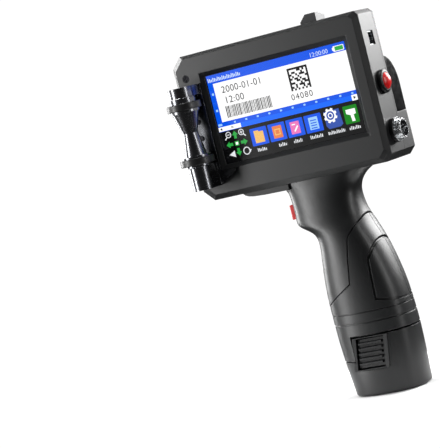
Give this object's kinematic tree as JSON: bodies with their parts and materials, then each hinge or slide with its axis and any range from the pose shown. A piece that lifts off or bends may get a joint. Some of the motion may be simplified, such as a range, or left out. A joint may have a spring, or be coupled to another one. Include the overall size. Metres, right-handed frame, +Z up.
{
  "type": "handheld date code inkjet printer",
  "caption": "Pistol-grip handheld coding printer with a colour touch screen, guide roller, ink cartridge bay, trigger and plug-in battery.",
  "frame": {"origin": "centre of the flat base of the battery, on the surface that the printer stands on", "axes": "+Z up, +X towards the end with the sockets, -X towards the print end, -Y is the side with the screen"},
  "size_m": [0.1347, 0.0653, 0.2261],
  "materials": {
    "shell_plastic": "fine moulded texture",
    "gloss_black": "polished",
    "roller_black": "satin gloss",
    "roller_rubber": "matt",
    "grip_rubber": "soft matt",
    "steel": "bare",
    "dark_steel": "blackened",
    "nose_metal": "brushed",
    "foam": "foam",
    "screen_glass": "clear cover",
    "lcd": "panel",
    "board_green": "solder mask",
    "chip_black": "moulded",
    "flex_amber": "polyimide film",
    "socket_steel": "tin plated",
    "bezel_black": "polished",
    "button_red": "polished",
    "trigger_red": "satin",
    "connector_chrome": "plated",
    "insert_black": "moulded",
    "gold": "plated",
    "brass_bush": "machined",
    "switch_black": "moulded",
    "cartridge_black": "moulded",
    "label_paper": "coated",
    "latch_black": "moulded",
    "spring_steel": "bare",
    "battery_plastic": "moulded",
    "release_plastic": "moulded",
    "cell_sleeve": "shrink sleeve"
  },
  "bodies": {
    "housing": {"front_shell": "shell_plastic", "rear_shell": "shell_plastic", "print_end_plate": "nose_metal", "display_gasket": "foam", "touch_panel": "screen_glass", "lcd_module": "lcd", "main_board": "board_green", "board_chips": "chip_black", "display_ribbon": "flex_amber", "usb_socket": "socket_steel", "power_bezel": "bezel_black", "connector_shell": "connector_chrome", "connector_washer": "insert_black", "connector_insert": "insert_black", "connector_pins": "steel", "connector_nut": "steel", "roller_bracket": "roller_black", "bracket_screws": "dark_steel", "roller_axle": "steel", "encoder_sensor": "chip_black", "trigger_switch": "switch_black", "front_grip_sleeve": "grip_rubber", "rear_grip_sleeve": "grip_rubber", "front_palm_pad": "grip_rubber", "rear_palm_pad": "grip_rubber", "contact_board": "board_green", "contact_pins": "gold", "latch_pin": "steel", "latch_spring": "spring_steel", "rear_service_cover": "gloss_black", "cover_screws": "dark_steel", "shell_screws": "dark_steel", "face_screw": "dark_steel", "battery_contact_block": "switch_black", "contact_blades": "gold"},
    "guide_roller": {"roller_core": "roller_black", "roller_bushes": "brass_bush", "upper_roller_band": "roller_rubber", "lower_roller_band": "roller_rubber", "encoder_disc": "steel"},
    "trigger": {"trigger_button": "trigger_red"},
    "power_cap": {"power_button": "button_red"},
    "cartridge_latch": {"latch_lever": "latch_black"},
    "ink_cartridge": {"cartridge_body": "cartridge_black", "cartridge_lid": "cartridge_black", "nozzle_plate": "gold", "cartridge_contacts": "gold", "cartridge_label": "label_paper"},
    "battery": {"battery_case": "battery_plastic", "battery_base": "battery_plastic", "battery_cells": "cell_sleeve", "battery_board": "board_green", "battery_terminals": "gold"},
    "front_release": {"front_release_button": "release_plastic"},
    "rear_release": {"rear_release_button": "release_plastic"}
  },
  "joints": [
    {"name": "roller_spin", "type": "hinge", "parent": "housing", "child": "guide_roller", "pos_m": [-0.0768, -0.0269, 0.17], "axis": [0, 0, 1], "continuous": true},
    {"name": "trigger_press", "type": "slide", "parent": "housing", "child": "trigger", "axis": [1, 0, 0], "range_m": [0, 0.002], "stiffness_N_per_m": 400, "springref_m": -0.002},
    {"name": "power_press", "type": "slide", "parent": "housing", "child": "power_cap", "axis": [-1, 0, 0], "range_m": [0, 0.0018], "stiffness_N_per_m": 400, "springref_m": -0.002},
    {"name": "latch_rock", "type": "hinge", "parent": "housing", "child": "cartridge_latch", "pos_m": [-0.0045, 0.0143, 0.2078], "axis": [0, 1, 0], "range_deg": [-12, 0], "stiffness_Nm_per_rad": 0.15, "springref_deg": 5.73},
    {"name": "cartridge_slide", "type": "slide", "parent": "housing", "child": "ink_cartridge", "axis": [0, 1, 0], "range_m": [0, 0.032]},
    {"name": "battery_slide", "type": "slide", "parent": "housing", "child": "battery", "axis": [0, 0, -1], "range_m": [0, 0.06]},
    {"name": "front_release_press", "type": "slide", "parent": "battery", "child": "front_release", "axis": [0, 1, 0], "range_m": [0, 0.0014], "stiffness_N_per_m": 400, "springref_m": -0.002},
    {"name": "rear_release_press", "type": "slide", "parent": "battery", "child": "rear_release", "axis": [0, -1, 0], "range_m": [0, 0.0014], "stiffness_N_per_m": 400, "springref_m": -0.002}
  ]
}
